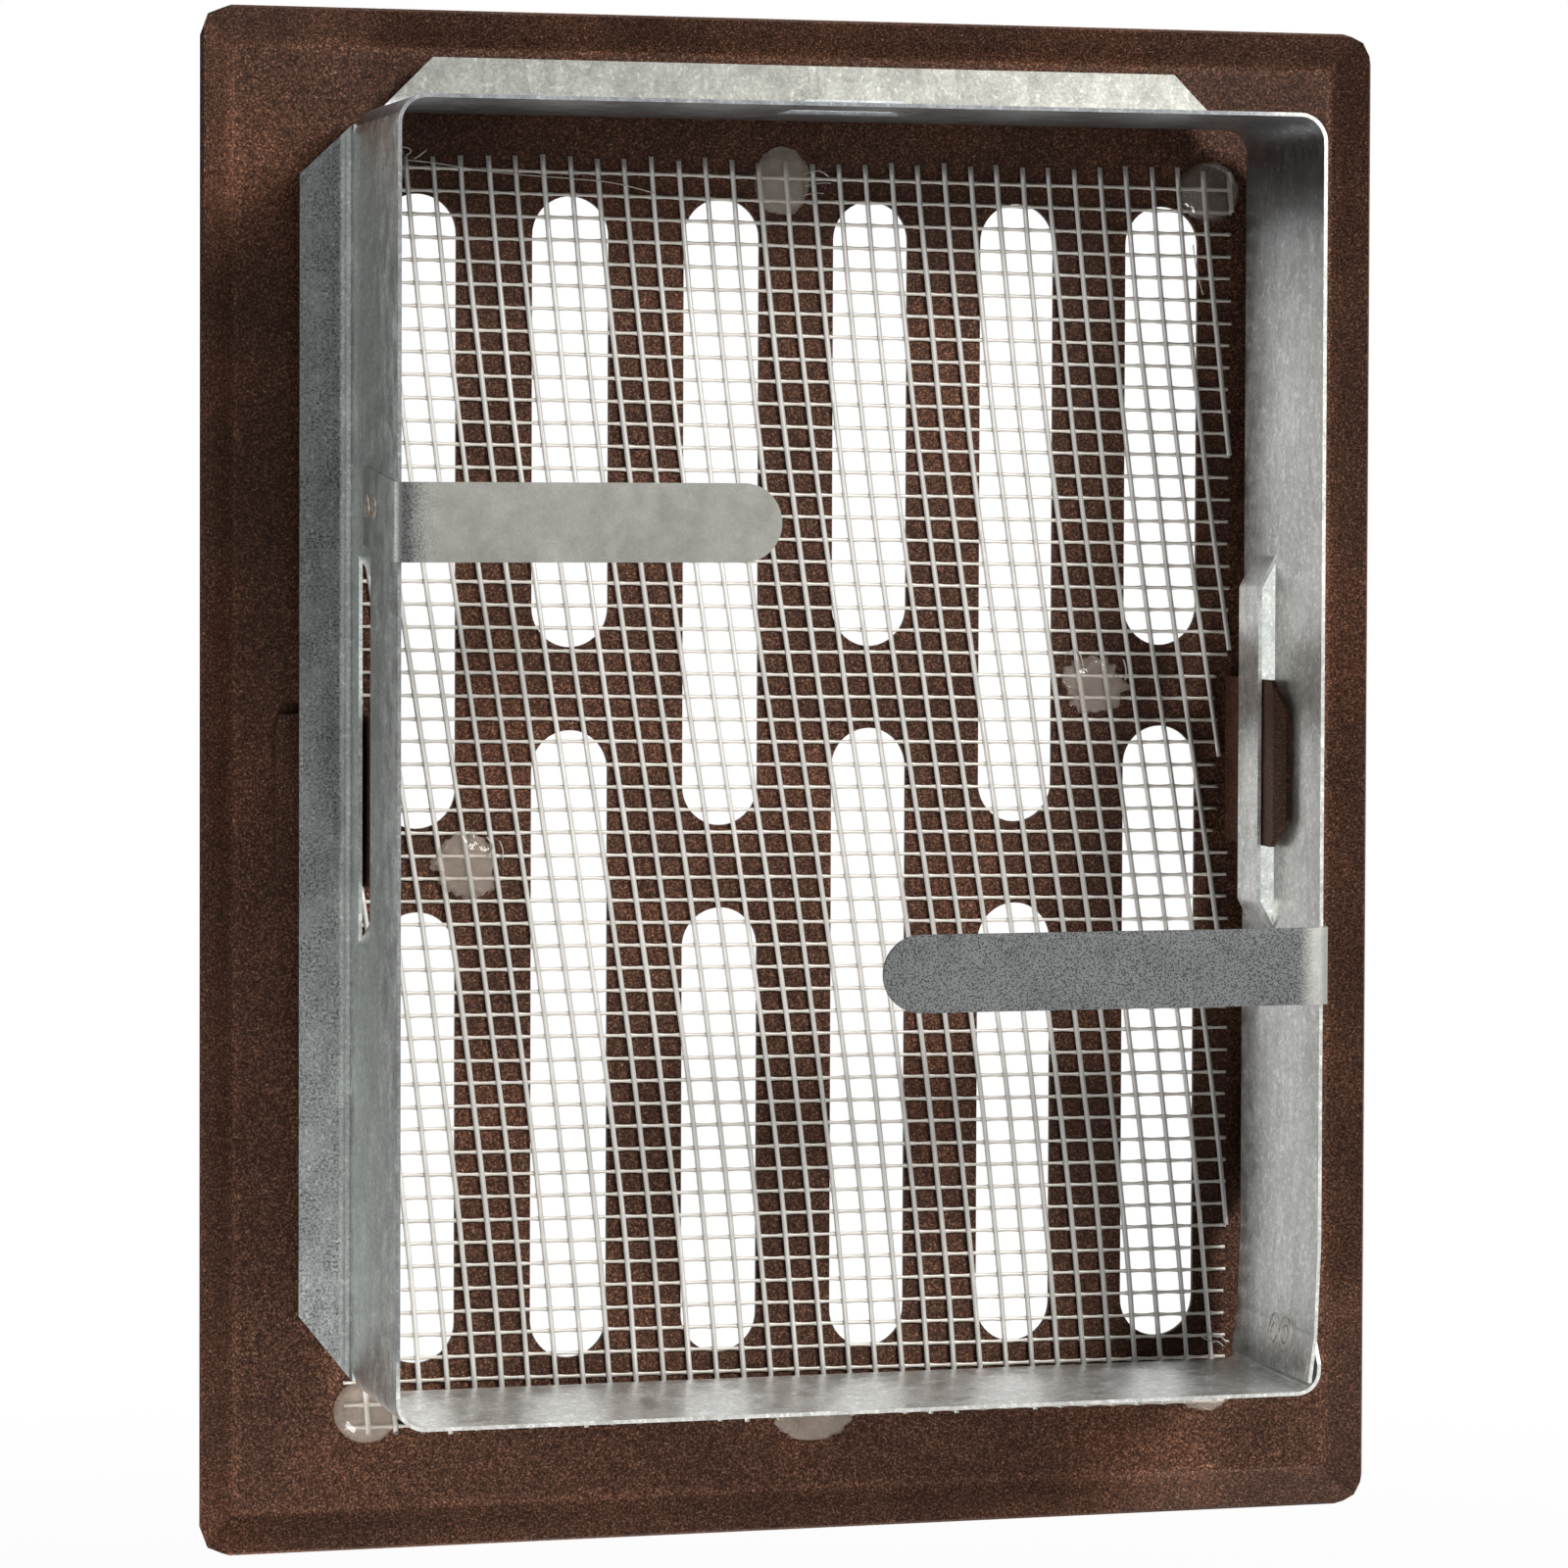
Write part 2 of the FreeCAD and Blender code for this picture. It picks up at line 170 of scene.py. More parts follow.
def above(tree, value, edge, soft=0.0004):
    # 0 below the edge, 1 above it
    return remap(tree, value, edge - soft, edge + soft, 0.0, 1.0)


def below(tree, value, edge, soft=0.0004):
    return remap(tree, value, edge - soft, edge + soft, 1.0, 0.0)


def both(tree, first, second):
    return maths(tree, "MULTIPLY", first, second)


# brown textured powder paint, lighter along the folds of the rim: partly worn paint, partly a painted
# highlight

brownPaint = dict(
    # tones are linear, and a scale counts grains in a metre
    pit=(0.012, 0.0052, 0.0034), body=(0.044, 0.0205, 0.0132), coat=(0.097, 0.0465, 0.0305),
    fleck=(0.255, 0.129, 0.080), spark=(0.58, 0.37, 0.26), stops=(0.33, 0.45, 0.56, 0.67, 0.77),
    grainScale=3100, cloudScale=34, thick=(0.78, 0.76, 0.75), thin=(1.42, 1.32, 1.24),
    roughness=0.46, gloss=0.09, bumpScale=2300, bumpStrength=0.5, bumpHeight=0.00012,
    rimInset=5.17 * mm, creaseWidth=1.5 * mm, creaseWearAndHighlight=1.4, mitreShade=0.72,
    edgeWidth=0.35 * mm, edgeTone=1.6,
)


def makeBrownPaint():
    material, tree, shader = newMaterial("brown paint")
    look = brownPaint
    place = objectPlace(tree)
    fine = grain(tree, place, look["grainScale"], 3, 0.68)
    tones = [look[name] for name in ("pit", "body", "coat", "fleck", "spark")]
    colour = ramp(tree, fine, list(zip(look["stops"], tones)))
    # broad clouds where the coat is thinner and shows more copper
    cloud = ramp(tree, grain(tree, place, look["cloudScale"], 4, 0.6), (
        (0.36, look["thick"]), (0.50, (1, 1, 1)), (0.66, look["thin"])))
    colour = mixColour(tree, 1.0, colour, cloud, "MULTIPLY")
    # how far a point is outside the rim's fold line
    x, _, z = axes(tree)
    outside = []
    for along, axis in ((0, x), (2, z)):
        middle = (plateLow[along] + plateHigh[along]) / 2
        half = (plateHigh[along] - plateLow[along]) / 2
        away = maths(tree, "ABSOLUTE", maths(tree, "SUBTRACT", axis, middle))
        outside.append(maths(tree, "SUBTRACT", away, half - look["rimInset"]))
    fold = maths(tree, "MAXIMUM", *outside)
    # worn paint and a painted highlight: lighter along the rim's fold line
    onFold = maths(tree, "ABSOLUTE", fold)
    onFold = remap(tree, onFold, 0, look["creaseWidth"], look["creaseWearAndHighlight"], 1.0)
    # the corners are folded too, along a line from the rim's corner inwards; this line is painted darker,
    # as painted shade in the crease
    mitreShadeLine = maths(tree, "ABSOLUTE", maths(tree, "SUBTRACT", *outside))
    mitreShadeLine = remap(tree, mitreShadeLine, 0, look["creaseWidth"], look["mitreShade"], 1.0)
    onRim = above(tree, fold, 0.0, 0.0002)
    corner = maths(tree, "ADD", 1.0, both(tree, onRim, maths(tree, "SUBTRACT", mitreShadeLine, 1.0)))
    onFold = both(tree, onFold, corner)
    edgeStart = look["rimInset"] - look["edgeWidth"]
    onEdge = remap(tree, fold, edgeStart, look["rimInset"], 1.0, look["edgeTone"])
    colour = shaded(tree, colour, both(tree, onFold, onEdge))
    tree.links.new(colour, shader.inputs["Base Color"])
    shader.inputs["Specular IOR Level"].default_value = look["gloss"]
    dull = remap(tree, fine, 0.3, 0.7, look["roughness"] - 0.1, look["roughness"] + 0.13)
    tree.links.new(dull, shader.inputs["Roughness"])
    height = grain(tree, place, look["bumpScale"], 2, 0.55)
    bump(tree, shader, height, look["bumpStrength"], look["bumpHeight"])
    return material


# galvanised sheet; each part of the folded frame has its own tone; the tones of the top wall, of the zone
# under it, of the fold to the left flange and of the flanges are painted light and shade

zincFrame = dict(
    inner=(0.79, 0.80, 0.78), innerTopShade=(0.30, 0.31, 0.32),
    leftWall=(0.74, 0.79, 0.765), topWallShade=(0.50, 0.52, 0.53), bend=(0.29, 0.305, 0.295),
    flangeShadedTop=(0.165, 0.173, 0.167), flangeLitLow=(0.43, 0.44, 0.435), rightFlangeShade=(0.50, 0.53, 0.51),
    topFlangeShaded=(0.275, 0.28, 0.255), topFlangeLit=(0.385, 0.385, 0.35),
    rimDark=(0.23, 0.24, 0.25), rimLight=(0.62, 0.62, 0.59),
    roughness=0.36, fleck=0.10, pepper=0.16, flangePepper=0.55,
    # where the regions meet, and how softly
    wallX=67.2 * mm, wallZ=91.45 * mm, bendX=67.56 * mm, flangeX=68.9 * mm, flangeZ=93.2 * mm,
    rimY=32.8 * mm, rimDepth=0.18 * mm, sharp=0.00005, bendSharp=0.00003,
    shadeZ=70 * mm, shadeSoft=12 * mm, flangeShadeFade=(-0.09, 0.02), topFlangeShadeFade=(0.055, -0.045),
    lighterRimZ=-84 * mm, lighterRimZSoft=3 * mm, lighterRimX=-60 * mm, lighterRimXSoft=4 * mm,
)
zincStraps = dict(
    left=(0.245, 0.245, 0.223), leftLeg=(0.52, 0.555, 0.535), bendDark=(0.13, 0.135, 0.135),
    bendX=67.4 * mm, legX=67.7 * mm, darkX=66.2 * mm, darkStart=65.0 * mm, darkSoft=1.6 * mm,
    plainX=61.5 * mm, bandPepper=0.6, armPepper=0.08, legPepper=0.32, leftRoughness=0.42,
    right=(0.160, 0.167, 0.168), rightEnd=(0.40, 0.40, 0.375), endX=-64.2 * mm, endSoft=0.0012,
    rightPepper=0.68, endPepper=0.12, rightRoughness=0.46, fleck=0.02,
)
zincGrain = dict(
    crystal=620, mottle=1500, cloud=75, streak=1900, patch=210, patchyWorm=2700, evenWorm=4000,
    shortFleck=1200, dull=300, dent=900, rolled=1500, rolledShare=0.3,
    metal=0.9, bumpStrength=0.24, bumpHeight=0.00007,
)


def zincSurface(tree, shader, tone, roughness, pepper, fleck, patchy=True):
    # tone is the colour of each region and pepper how strong its dark speckle is
    look = zincGrain
    place = objectPlace(tree)
    rolled = objectPlace(tree, (0.07, 1, 0.07))   # along the strip that the frame was folded from
    upright = objectPlace(tree, (1, 1, 0.3))
    shade = remap(tree, crystals(tree, upright, look["crystal"]), 0, 1, 1 - fleck, 1 + fleck)
    mottle = grain(tree, objectPlace(tree, (1, 0.8, 0.9)), look["mottle"], 3, 0.7)
    shade = both(tree, shade, remap(tree, mottle, 0.36, 0.64, 1 - 1.5 * fleck, 1 + 1.3 * fleck))
    cloud = remap(tree, grain(tree, place, look["cloud"], 4, 0.6), 0.3, 0.7, 0.90, 1.10)
    streak = remap(tree, grain(tree, rolled, look["streak"], 3, 0.6), 0.3, 0.7, 0.985, 1.015)
    shade = both(tree, both(tree, shade, cloud), streak)
    # worm-like speckle, gathered in patches
    if patchy:
        worms = remap(tree, grain(tree, place, look["patchyWorm"], 2, 0.6), 0.40, 0.54, 1.0, 0.0)
        patches = grain(tree, place, look["patch"], 3, 0.6)
        worms = both(tree, worms, remap(tree, patches, 0.35, 0.6, 0.45, 1.25))
    else:
        worms = remap(tree, grain(tree, place, look["evenWorm"], 1, 0.5), 0.41, 0.50, 1.0, 0.0)
    shade = both(tree, shade, maths(tree, "SUBTRACT", 1.0, both(tree, worms, pepper)))
    # bright short flecks along the crystals
    short = grain(tree, objectPlace(tree, (1, 0.75, 0.8)), look["shortFleck"], 2, 0.6)
    shade = both(tree, shade, remap(tree, short, 0.57, 0.66, 1 - 0.4 * fleck, 1 + 3.2 * fleck))
    tree.links.new(shaded(tree, tone, shade), shader.inputs["Base Color"])
    shader.inputs["Metallic"].default_value = look["metal"]
    dull = grain(tree, place, look["dull"], 2, 0.5)
    dull = remap(tree, dull, 0.3, 0.7, roughness - 0.06, roughness + 0.06)
    tree.links.new(dull, shader.inputs["Roughness"])
    dents = grain(tree, place, look["dent"], 2, 0.5)
    lines = maths(tree, "MULTIPLY", grain(tree, rolled, look["rolled"], 2, 0.5), look["rolledShare"])
    bump(tree, shader, maths(tree, "ADD", dents, lines), look["bumpStrength"], look["bumpHeight"])


def makeFrameZinc():
    material, tree, shader = newMaterial("galvanised frame")
    look = zincFrame
    x, y, z = axes(tree)
    sharp = look["sharp"]
    tone = mixColour(tree, above(tree, x, look["wallX"], sharp), look["inner"], look["leftWall"])
    # painted shade: the top wall is darker than the other walls
    tone = mixColour(tree, above(tree, z, look["wallZ"], sharp), tone, look["topWallShade"])
    # painted shade: the upper inner walls are painted darker, where the top wall's shadow falls
    underTopShade = above(tree, z, look["shadeZ"], look["shadeSoft"])
    underTopShade = both(tree, underTopShade, below(tree, z, look["wallZ"], sharp))
    underTopShade = both(tree, underTopShade, below(tree, x, look["wallX"], sharp))
    tone = mixColour(tree, underTopShade, tone, look["innerTopShade"])
    # painted shade: the left flange is painted dark at the top and lighter downwards, for how the light
    # falls on it
    upwards = remap(tree, z, *look["flangeShadeFade"], 0.0, 1.0)
    leftFlange = above(tree, x, look["flangeX"])
    flangeShadeTone = mixColour(tree, upwards, look["flangeLitLow"], look["flangeShadedTop"])
    tone = mixColour(tree, leftFlange, tone, flangeShadeTone)
    # painted shade: the fold to the left flange is painted darker, so that its highlight stays dim
    bend = both(tree, above(tree, x, look["bendX"], look["bendSharp"]), below(tree, x, look["flangeX"]))
    tone = mixColour(tree, bend, tone, look["bend"])
    # painted shade: the right flange is painted darker, so that it shows no white strip of reflected
    # light
    tone = mixColour(tree, below(tree, x, -look["flangeX"]), tone, look["rightFlangeShade"])
    # painted light and shade: the top flange is painted dark at the left and lighter towards the right,
    # for how the light falls on it
    across = remap(tree, x, *look["topFlangeShadeFade"], 0.0, 1.0)
    topFlangeShadeTone = mixColour(tree, across, look["topFlangeShaded"], look["topFlangeLit"])
    tone = mixColour(tree, above(tree, z, look["flangeZ"]), tone, topFlangeShadeTone)
    # the cut rim is lighter below and at the seam side, and darker on top and at the left
    rim = above(tree, y, look["rimY"] - look["rimDepth"], sharp)
    lowRim = below(tree, z, look["lighterRimZ"], look["lighterRimZSoft"])
    lighterRim = maths(tree, "MAXIMUM", lowRim, below(tree, x, look["lighterRimX"], look["lighterRimXSoft"]))
    tone = mixColour(tree, rim, tone, mixColour(tree, lighterRim, look["rimDark"], look["rimLight"]))
    pepper = maths(tree, "MULTIPLY", leftFlange, look["flangePepper"])
    pepper = maths(tree, "MAXIMUM", pepper, look["pepper"])
    zincSurface(tree, shader, tone, look["roughness"], pepper, look["fleck"])
    return material


def makeLeftStrapZinc():
    material, tree, shader = newMaterial("galvanised left strap")
    look = zincStraps
    x = axes(tree)[0]
    # next to the bend the zinc is crazed: a dark band, which fades to the plain arm
    band = remap(tree, x, look["plainX"], look["darkX"], 0.0, 1.0)
    band = both(tree, band, below(tree, x, look["bendX"]))
    leg = above(tree, x, look["legX"], 0.0002)
    tone = mixColour(tree, leg, look["left"], look["leftLeg"])
    darkBand = both(tree, band, above(tree, x, look["darkStart"], look["darkSoft"]))
    tone = mixColour(tree, darkBand, tone, look["bendDark"])
    pepper = maths(tree, "MAXIMUM", maths(tree, "MULTIPLY", band, look["bandPepper"]),
                   remap(tree, leg, 0, 1, look["armPepper"], look["legPepper"]))
    zincSurface(tree, shader, tone, look["leftRoughness"], pepper, look["fleck"], patchy=False)
    return material


def makeRightStrapZinc():
    material, tree, shader = newMaterial("galvanised right strap")
    look = zincStraps
    end = below(tree, axes(tree)[0], look["endX"], look["endSoft"])
    tone = mixColour(tree, end, look["right"], look["rightEnd"])
    pepper = remap(tree, end, 0, 1, look["rightPepper"], look["endPepper"])
    zincSurface(tree, shader, tone, look["rightRoughness"], pepper, look["fleck"], patchy=False)
    return material


# net, glue and weld marks

glassFibre = dict(
    upright=(0.81, 0.785, 0.74), cross=(0.84, 0.78, 0.685), hair=(0.62, 0.56, 0.50),
    dirtShade=0.86, dirtScale=260, bumpScale=3200,
    roughness=0.4, gloss=1.0, index=1.9, through=0.32, glow=0.4, glowReach=(0.001, 0.001, 0.0009),
    coat=0.8, coatRoughness=0.3, bumpStrength=0.25, bumpHeight=0.00004,
)
hotGlue = dict(
    body=(0.86, 0.735, 0.615), cloudy=(0.62, 0.52, 0.43), milkScale=420, index=1.42,
    coat=1.0, coatRoughness=0.05, bumpScale=330, bumpStrength=0.12, bumpHeight=0.0003,
    clear=dict(roughness=0.08, alpha=0.48, through=0.88),
    milky=dict(roughness=0.16, alpha=0.34, through=0.42),
)
weldLook = dict(
    burn=(0.30, 0.27, 0.215), bright=(0.72, 0.70, 0.62),
    steel=(0.86, 0.87, 0.86), copper=(0.62, 0.33, 0.13),
    metal=0.85, roughness=0.38, burnScale=900, bumpScale=1800, bumpStrength=0.3, bumpHeight=0.00006,
)


def makeFibre(name, tone):
    material, tree, shader = newMaterial(name)
    look = glassFibre
    place = objectPlace(tree)
    dirt = grain(tree, place, look["dirtScale"], 3, 0.6)
    darker = tuple(c * look["dirtShade"] for c in tone)
    tree.links.new(ramp(tree, dirt, ((0.35, darker), (0.62, tone))), shader.inputs["Base Color"])
    shader.inputs["Roughness"].default_value = look["roughness"]
    shader.inputs["Specular IOR Level"].default_value = look["gloss"]
    shader.inputs["IOR"].default_value = look["index"]
    shader.inputs["Transmission Weight"].default_value = look["through"]
    shader.inputs["Coat Weight"].default_value = look["coat"]
    shader.inputs["Coat Roughness"].default_value = look["coatRoughness"]
    shader.inputs["Subsurface Weight"].default_value = look["glow"]
    shader.inputs["Subsurface Radius"].default_value = look["glowReach"]
    height = grain(tree, place, look["bumpScale"], 2, 0.5)
    bump(tree, shader, height, look["bumpStrength"], look["bumpHeight"])
    return material


def makeGlue(name, kind):
    material, tree, shader = newMaterial(name)
    look = hotGlue
    place = objectPlace(tree)
    milk = grain(tree, place, look["milkScale"], 3, 0.55)
    tone = ramp(tree, milk, ((0.34, look["cloudy"]), (0.64, look["body"])))
    tree.links.new(tone, shader.inputs["Base Color"])
    shader.inputs["Roughness"].default_value = kind["roughness"]
    shader.inputs["Alpha"].default_value = kind["alpha"]
    shader.inputs["IOR"].default_value = look["index"]
    shader.inputs["Transmission Weight"].default_value = kind["through"]
    shader.inputs["Coat Weight"].default_value = look["coat"]
    shader.inputs["Coat Roughness"].default_value = look["coatRoughness"]
    height = grain(tree, place, look["bumpScale"], 2, 0.5)
    bump(tree, shader, height, look["bumpStrength"], look["bumpHeight"])
    return material


def makeWeldMetal(name, stops):
    material, tree, shader = newMaterial(name)
    look = weldLook
    place = objectPlace(tree)
    burnt = grain(tree, place, look["burnScale"], 3, 0.6)
    tree.links.new(ramp(tree, burnt, stops), shader.inputs["Base Color"])
    shader.inputs["Metallic"].default_value = look["metal"]
    shader.inputs["Roughness"].default_value = look["roughness"]
    height = grain(tree, place, look["bumpScale"], 2, 0.5)
    bump(tree, shader, height, look["bumpStrength"], look["bumpHeight"])
    return material


paint = makeBrownPaint()
fibreUp = makeFibre("glass fibre upright", glassFibre["upright"])
fibreAcross = makeFibre("glass fibre crosswise", glassFibre["cross"])
clearGlue = makeGlue("clear glue", hotGlue["clear"])
milkyGlue = makeGlue("milky glue", hotGlue["milky"])
weldRing = makeWeldMetal("weld ring", ((0.38, weldLook["burn"]), (0.62, weldLook["bright"])))
weldSpot = makeWeldMetal("weld spot", (
    (0.40, weldLook["copper"]), (0.47, weldLook["steel"]),
    (0.56, weldLook["steel"]), (0.62, weldLook["copper"])))

finishes = dict(
    face_plate=paint, clip_left=paint, clip_right=paint, mounting_frame=makeFrameZinc(),
    anchor_strap_left=makeLeftStrapZinc(), anchor_strap_right=makeRightStrapZinc(),
)
for name, material in finishes.items():
    for slot in nodes[name].material_slots:
        slot.material = material
print("paint and zinc on", len(finishes), "CAD nodes")


# making and joining pieces

def finishPiece(bm, name, body, materials):
    bmesh.ops.recalc_face_normals(bm, faces=bm.faces)
    mesh = bpy.data.meshes.new(name)
    bm.to_mesh(mesh)
    bm.free()
    for material in materials:
        mesh.materials.append(material)
    for face in mesh.polygons:
        face.use_smooth = True
    piece = bpy.data.objects.new(name, mesh)
    bpy.context.scene.collection.objects.link(piece)
    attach(piece, body)
    return piece


def addTo(bm, part, materialIndex=0):
    # a finished small mesh joins the piece that it belongs to
    for face in part.faces:
        face.material_index = materialIndex
    mesh = bpy.data.meshes.new("part")
    part.to_mesh(mesh)
    part.free()
    bm.from_mesh(mesh)
    bpy.data.meshes.remove(mesh)


def ribbon(stations, along):
    # stations are (centre, half width, half height); a cylinder is cut into rings that follow them
    bm = bmesh.new()
    last = len(stations) - 1
    bmesh.ops.create_cone(bm, cap_ends=True, segments=net["sides"], radius1=1, radius2=1, depth=1)
    longEdges = [e for e in bm.edges if abs(e.verts[0].co.z - e.verts[1].co.z) > 0.5]
    if last > 1:
        bmesh.ops.subdivide_edges(bm, edges=longEdges, cuts=last - 1, use_grid_fill=True)
    for v in bm.verts:
        centre, width, height = stations[round((v.co.z + 0.5) * last)]
        if along == "z":
            v.co = centre + Vector((v.co.x * width, v.co.y * height, 0))
        else:
            v.co = centre + Vector((0, v.co.y * height, v.co.x * width))
    return bm


def skinOf(name):
    # the faces of a CAD node, to set marks down on
    bm = bmesh.new()
    bm.from_mesh(nodes[name].data)
    skin = BVHTree.FromBMesh(bm)
    bm.free()
    return skin


# insect net: loose weave of coated glass fibre, pulled askew when it was glued on

net = dict(
    # lengths in mm, but the flat size in metres
    left=68.1, right=-66.1, top=85.7, low=-98.0, flat=(0.1342, 0.1853), covered=0.42,
    rows=56, rowPitch=3.284, firstRow=83.14, rowTilt=0.009,
    columnPitch=4.02, firstColumn=-1.3, columns=(-22, 16), lean=0.081, sway=0.075,
    hangTop=83.35, hangLength=170.8, columnWander=0.16, rowWander=0.13, knotReach=0.55, sides=6,
    uprightWidth=0.42, uprightHeight=0.11, uprightLift=0.36,
    crossWidth=0.235, crossKnot=0.44, crossHeight=0.12, crossLift=0.17, lift=0.14, liftWave=0.16, seed=11,
)
# cut out round the clips' feet: from x, to x, from z, to z
clipCuts = ((64.6, 80.0, -19.2, 6.2), (-80.0, -64.6, -14.5, 10.9))
# a cross strand widens at a knot: how far from its middle, and its share of the full width
knotFlare = ((-1.5, 0.05), (-0.75, 0.40), (0, 1.0), (0.75, 0.40), (1.5, 0.05))


def netLift(x, z):
    # the net lies a little above the plate, rising and falling in a smooth wave
    wave = noise.noise(Vector((x * 0.035, z * 0.028, 3.1)))
    return net["lift"] + net["liftWave"] * wave


def columnX(number, z):
    share = (net["hangTop"] - z) / net["hangLength"]
    sway = net["sway"] * (1 - math.cos(math.pi * min(max(share, 0), 1))) / math.pi
    drift = net["hangLength"] * (net["lean"] * share + sway)
    wander = net["columnWander"] * noise.noise(Vector((number * 1.7, z * 0.045, 0.4)))
    return net["firstColumn"] - net["columnPitch"] * number - drift + wander


def rowZ(number, x):
    wander = net["rowWander"] * noise.noise(Vector((x * 0.05, number * 1.3, 7.7)))
    return net["firstRow"] - net["rowPitch"] * number + net["rowTilt"] * x + wander


def inNet(x, z):
    if not net["right"] <= x <= net["left"]:
        return False
    return not any(x0 < x < x1 and z0 < z < z1 for x0, x1, z0, z1 in clipCuts)


def runsOf(stations):
    # breaks a strand where the net stops
    runs, now = [], []
    for station in stations:
        if station is None:
            if len(now) > 2:
                runs.append(now)
            now = []
        else:
            now.append(station)
    if len(now) > 2:
        runs.append(now)
    return runs


def uprightStations(number, chance):
    levels = [net["top"] + chance.uniform(-0.5, 0.2)]
    for row in range(net["rows"]):
        z = net["firstRow"] - net["rowPitch"] * row
        levels += [z + net["knotReach"], z, z - net["knotReach"]]
    levels.append(net["low"] + chance.uniform(-0.4, 0.5))
    wide = net["uprightWidth"] * chance.uniform(0.95, 1.06)
    stations = []
    for z in levels:
        x = columnX(number, z)
        if not inNet(x, z):
            stations.append(None)
            continue
        y = plateBack + netLift(x, z) + net["uprightLift"]
        stations.append((Vector((x, y, z)) * mm, wide * mm, net["uprightHeight"] * mm))
    return stations


def crossStations(row, chance):
    places = []
    first, final = net["columns"]
    for number in range(first, final + 1):
        x = columnX(number, rowZ(row, 0))
        x = columnX(number, rowZ(row, x))
        places += [(x + step, share) for step, share in knotFlare]
    places.append((net["left"] - chance.uniform(0, 0.5), 0.2))
    places.append((net["right"] + chance.uniform(0, 0.5), 0.2))
    places.sort()
    stations = []
    for x, share in places:
        z = rowZ(row, x)
        if not inNet(x, z):
            stations.append(None)
            continue
        y = plateBack + netLift(x, z) + net["crossLift"]
        half = net["crossWidth"] + (net["crossKnot"] - net["crossWidth"]) * share
        stations.append((Vector((x, y, z)) * mm, half * mm, net["crossHeight"] * mm))
    return stations


def makeNet():
    bm = bmesh.new()
    chance = random.Random(net["seed"])
    first, final = net["columns"]
    for number in range(first, final + 1):
        for run in runsOf(uprightStations(number, chance)):
            addTo(bm, ribbon(run, "z"), 0)
    for row in range(net["rows"]):
        for run in runsOf(crossStations(row, chance)):
            addTo(bm, ribbon(run, "x"), 1)
    piece = finishPiece(bm, "glass_net", "grille", (fibreUp, fibreAcross))
    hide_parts("insect_net")
    return piece


netPiece = makeNet()
print("net:", len(netPiece.data.polygons), "faces")


# hot glue: eight uneven drops and the hairs that they drew out

dropPlaces = (
    # node; x, z, half width, half length and height in mm; unevenness, raggedness, flatness
    ("glue_dot_1", 63.0, 84.0, 4.2, 4.0, 2.0, 0.12, 0.0, 1.0),
    ("glue_dot_2", 3.3, 82.6, 4.1, 4.9, 2.3, 0.10, 0.05, 0.9),
    ("glue_dot_3", -62.4, 82.2, 4.7, 4.5, 2.4, 0.06, 0.0, 0.9),
    ("glue_dot_4", 50.1, -16.4, 4.5, 4.6, 1.7, 0.16, 0.30, 0.6),
    ("glue_dot_5", -44.9, 9.1, 4.7, 4.3, 1.8, 0.16, 0.34, 0.65),
    ("glue_dot_6", 64.5, -94.6, 4.8, 4.5, 2.4, 0.04, 0.0, 0.8),
    ("glue_dot_7", -2.0, -97.9, 5.6, 3.6, 2.0, 0.10, 0.12, 0.7),
    ("glue_dot_8", -62.8, -96.9, 4.0, 2.5, 1.5, 0.10, 0.12, 0.6),
)
milkyDrops = (2, 4, 5, 6, 7, 8)
dropShape = dict(
    subdivisions=5, broad=1.3, fine=3.4, fineShare=0.45, ragScale=4.5, foot=0.12, lift=0.00012,
)


def makeDrop(number, place):
    node, x, z, wide, tall, height, uneven, ragged, flatness = place
    look = dropShape
    bm = bmesh.new()
    bmesh.ops.create_icosphere(bm, subdivisions=look["subdivisions"], radius=1)
    seed = Vector((number * 3.7, number * 1.9, 0.5))
    for v in bm.verts:
        swell = 1 + uneven * noise.noise(v.co * look["broad"] + seed)
        swell += uneven * look["fineShare"] * noise.noise(v.co * look["fine"] + seed)
        rim = Vector((v.co.x, 0, v.co.z))
        outline = swell + ragged * noise.noise(rim * look["ragScale"] + seed) * rim.length
        up = abs(v.co.y) ** flatness * height * swell if v.co.y > 0 else look["foot"] * v.co.y
        v.co = Vector((v.co.x * wide * outline, up, v.co.z * tall * outline))
    bmesh.ops.scale(bm, vec=(mm, mm, mm), verts=bm.verts)
    bmesh.ops.translate(bm, vec=(x * mm, plateBack * mm + look["lift"], z * mm), verts=bm.verts)
    glue = milkyGlue if number in milkyDrops else clearGlue
    drop = finishPiece(bm, node.replace("dot", "drop"), "grille", (glue,))
    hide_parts(node)


for number, place in enumerate(dropPlaces, 1):
    makeDrop(number, place)
print("glue drops:", len(dropPlaces))

